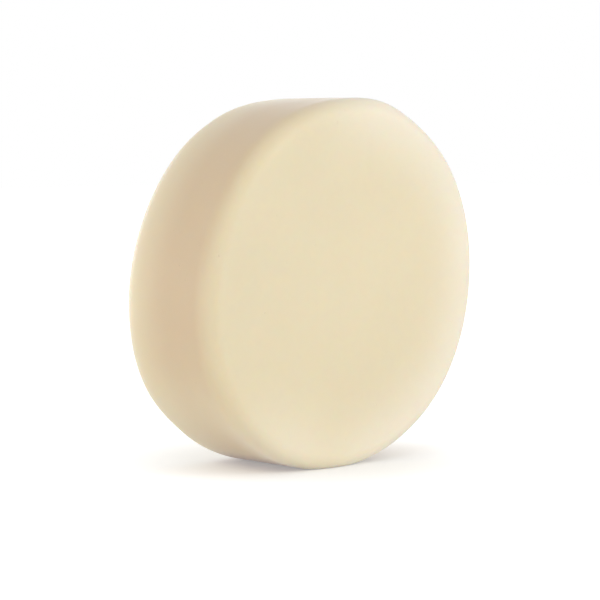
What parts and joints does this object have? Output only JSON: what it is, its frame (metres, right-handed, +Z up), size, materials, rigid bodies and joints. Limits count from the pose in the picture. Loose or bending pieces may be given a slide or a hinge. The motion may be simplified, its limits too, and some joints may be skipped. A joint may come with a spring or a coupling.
{
  "type": "whole kashkaval cheese wheel",
  "caption": "Thick round wheel of pale semi-hard cheese standing on its rim, with flat faces, softly rounded edges and a slightly oval outline.",
  "frame": {"origin": "on the surface that the wheel stands on, under the middle of its outer box", "axes": "+Z up, +Y along the wheel's own axis from the front face to the back face, +X to the right seen from the front face"},
  "size_m": [0.3002, 0.107, 0.2974],
  "materials": {
    "cheese": "pale cream young cheese with a thin, dry, faintly waxy skin"
  },
  "bodies": {
    "root": {"cheese_wheel": "cheese"}
  },
  "joints": []
}
